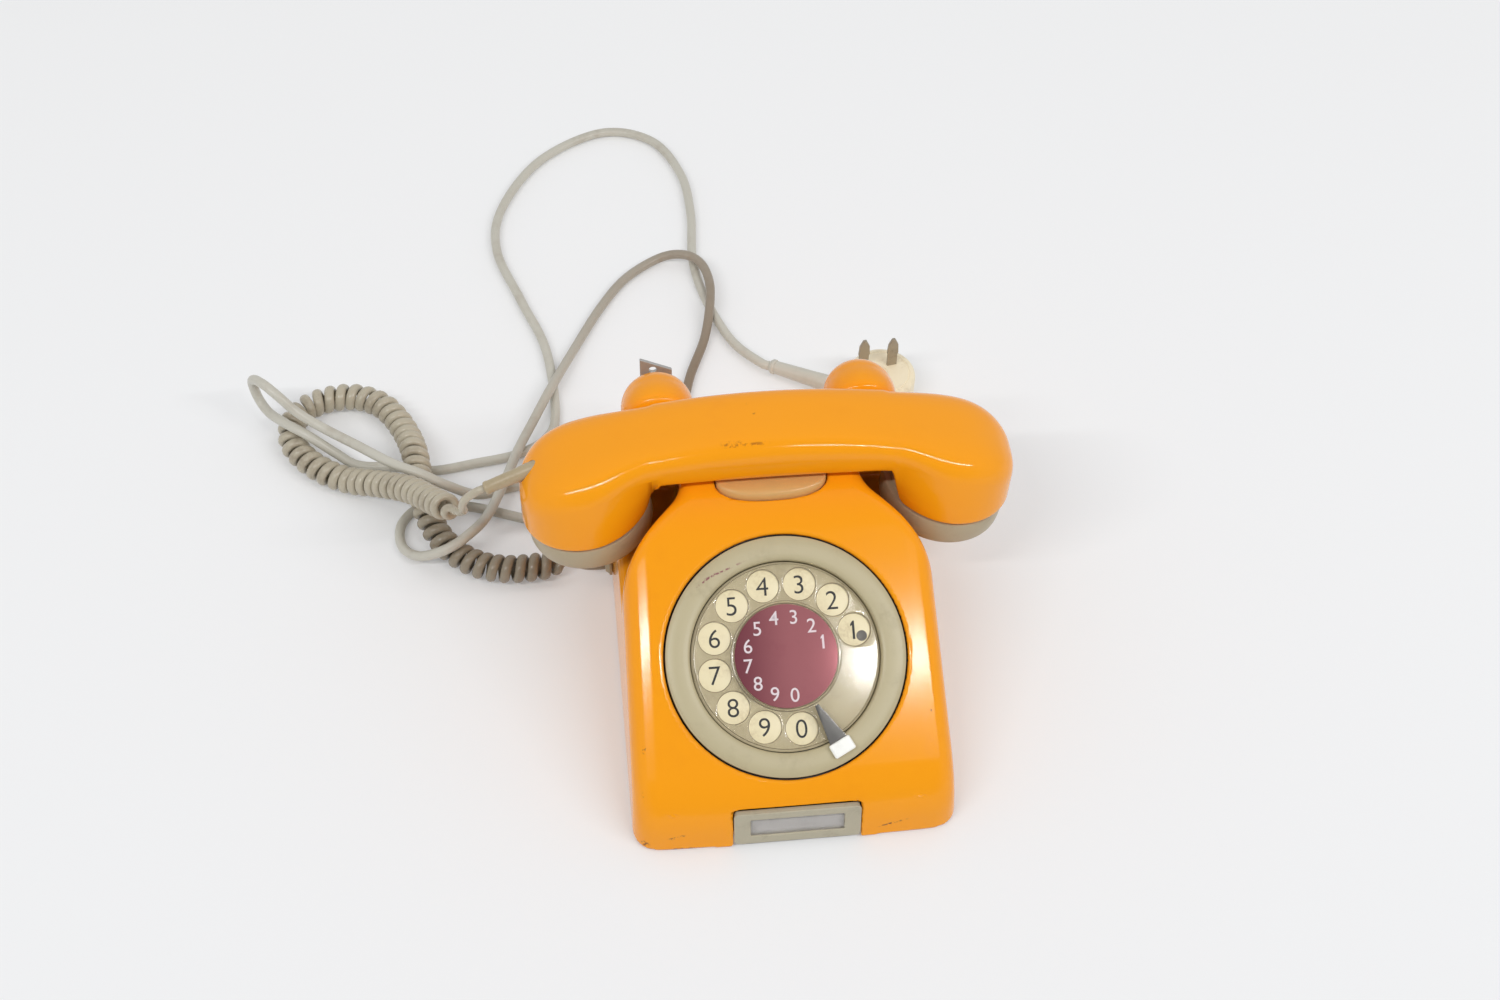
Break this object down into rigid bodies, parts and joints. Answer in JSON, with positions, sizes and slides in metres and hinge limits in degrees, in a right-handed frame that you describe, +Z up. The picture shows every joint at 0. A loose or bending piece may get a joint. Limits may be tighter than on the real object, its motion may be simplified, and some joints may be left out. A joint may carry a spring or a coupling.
{
  "type": "rotary dial desk telephone",
  "caption": "Desk telephone with a sloping wedge housing, a finger wheel dial, a lift-off handset on cradle horns, a curly handset cord and a line cord with a two-blade plug.",
  "frame": {"origin": "middle of the footprint on the floor, between the handset ends and between the front edge and the hanger lug", "axes": "+X to the right along the handset, -Y is the front with the dial, +Z up"},
  "size_m": [0.3634, 0.4816, 0.1254],
  "materials": {
    "orange_plastic": "glossy moulded thermoplastic, lightly scuffed",
    "grey_plastic": "satin grey-beige moulded plastic",
    "cream_plastic": "smooth aged cream plastic",
    "white_plastic": "smooth white plastic",
    "clear_plastic": "clear polished plastic with fine scratches",
    "peach_plastic": "translucent plastic over the orange neck",
    "pink_foil": "metallic pink lacquer",
    "paper": "blank paper",
    "steel": "plain sheet steel",
    "dark_steel": "dark oxidised steel",
    "brass": "plain brass",
    "dull_steel": "tarnished metal",
    "rubber": "black rubber",
    "cord_plastic": "grey-beige vinyl with grime",
    "dark_plastic": "black moulded plastic",
    "grey_nylon": "moulded nylon",
    "board": "laminated board",
    "winding": "varnished copper windings",
    "film_blue": "dipped plastic film"
  },
  "bodies": {
    "root": {"housing": "orange_plastic", "base_plate": "steel", "rubber_feet": "rubber", "base_screws": "steel", "label_frame": "grey_plastic", "label_window": "clear_plastic", "label_card": "paper", "hanger_lug": "dark_steel", "lug_screw": "steel", "dial_bezel": "grey_plastic", "number_ring": "grey_plastic", "number_discs": "cream_plastic", "finger_stop": "steel", "finger_stop_tip": "white_plastic", "dial_frame": "steel", "dial_screws": "steel", "dial_bridge": "brass", "dial_spring": "steel", "pulse_contacts": "brass", "hook_bracket": "steel", "hook_spring": "steel", "hook_contacts": "brass", "ringer_frame": "steel", "ringer_coils": "winding", "gong_left": "brass", "gong_right": "brass", "gong_screws": "steel", "circuit_board": "board", "induction_coil": "winding", "capacitor": "film_blue", "terminal_block": "dark_plastic", "terminal_screws": "brass", "handset_cord": "cord_plastic", "cord_grommet": "cord_plastic", "line_cord": "cord_plastic", "line_gland": "cord_plastic", "plug_body": "cream_plastic", "plug_blades": "dull_steel", "plug_relief": "cord_plastic"},
    "dial": {"finger_wheel": "clear_plastic", "center_card": "pink_foil", "dial_shaft": "steel", "dial_gear": "brass", "pulse_cam": "dark_plastic"},
    "idler": {"dial_idler": "brass"},
    "governor": {"dial_governor": "brass"},
    "clapper": {"bell_clapper": "steel"},
    "button": {"cradle_button": "peach_plastic", "hook_plunger": "grey_nylon"},
    "handset": {"handset_shell": "orange_plastic", "mouth_cap": "grey_plastic", "ear_cap": "grey_plastic", "transmitter": "steel", "receiver": "steel", "handset_relief": "cord_plastic"}
  },
  "joints": [
    {"name": "handset_lift", "type": "slide", "parent": "root", "child": "handset", "axis": [0, 0, 1], "range_m": [0, 0.1], "deforming": ["handset_cord"]},
    {"name": "cradle_button_rise", "type": "slide", "parent": "root", "child": "button", "axis": [0, 0, 1], "range_m": [0, 0.005], "deforming": ["hook_spring"]},
    {"name": "dial_turn", "type": "hinge", "parent": "root", "child": "dial", "pos_m": [0, -0.04148, 0.05944], "axis": [0, 0.521, -0.8536], "range_deg": [0, 328], "stiffness_Nm_per_rad": 0.01, "springref_deg": -34.38},
    {"name": "idler_turn", "type": "hinge", "parent": "root", "child": "idler", "pos_m": [0.02895, -0.04148, 0.05944], "axis": [0, 0.521, -0.8536], "range_deg": [-1640, 0]},
    {"name": "governor_turn", "type": "hinge", "parent": "root", "child": "governor", "pos_m": [0.03334, -0.02751, 0.06797], "axis": [0, 0.521, -0.8536], "range_deg": [0, 4920]},
    {"name": "clapper_swing", "type": "hinge", "parent": "root", "child": "clapper", "pos_m": [0, 0.0395, 0.0215], "axis": [0, 0, 1], "range_deg": [-9, 9]}
  ],
  "couplings": [
    {"joint": "cradle_button_rise", "follows": "handset_lift", "ratio": 0.05},
    {"joint": "idler_turn", "follows": "dial_turn", "ratio": -5},
    {"joint": "governor_turn", "follows": "dial_turn", "ratio": 15}
  ]
}
